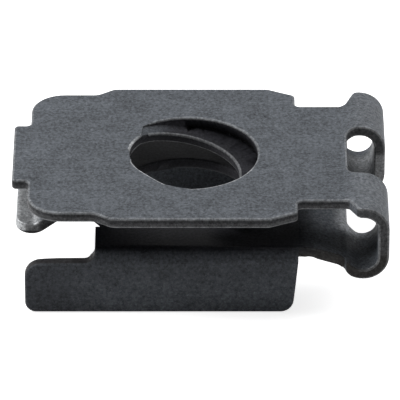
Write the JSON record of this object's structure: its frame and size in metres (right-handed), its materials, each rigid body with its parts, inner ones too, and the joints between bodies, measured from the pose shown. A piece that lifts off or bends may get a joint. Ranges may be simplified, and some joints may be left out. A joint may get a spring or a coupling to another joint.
{
  "type": "u clip speed nut",
  "caption": "Folded spring-steel clip that slides over a panel edge and holds a tapping screw in a thread pressed into its upper leaf.",
  "frame": {"origin": "on the screw axis, at the face of the bottom leaf that the panel lies on", "axes": "+X towards the folded end, +Y across the clip, +Z along the screw axis towards the threaded leaf"},
  "size_m": [0.0169, 0.0116, 0.0055],
  "materials": {
    "spring_steel": "dark phosphated spring steel, satin, with fine lengthwise rolling marks"
  },
  "bodies": {
    "root": {"u_clip_body": "spring_steel"}
  },
  "joints": []
}
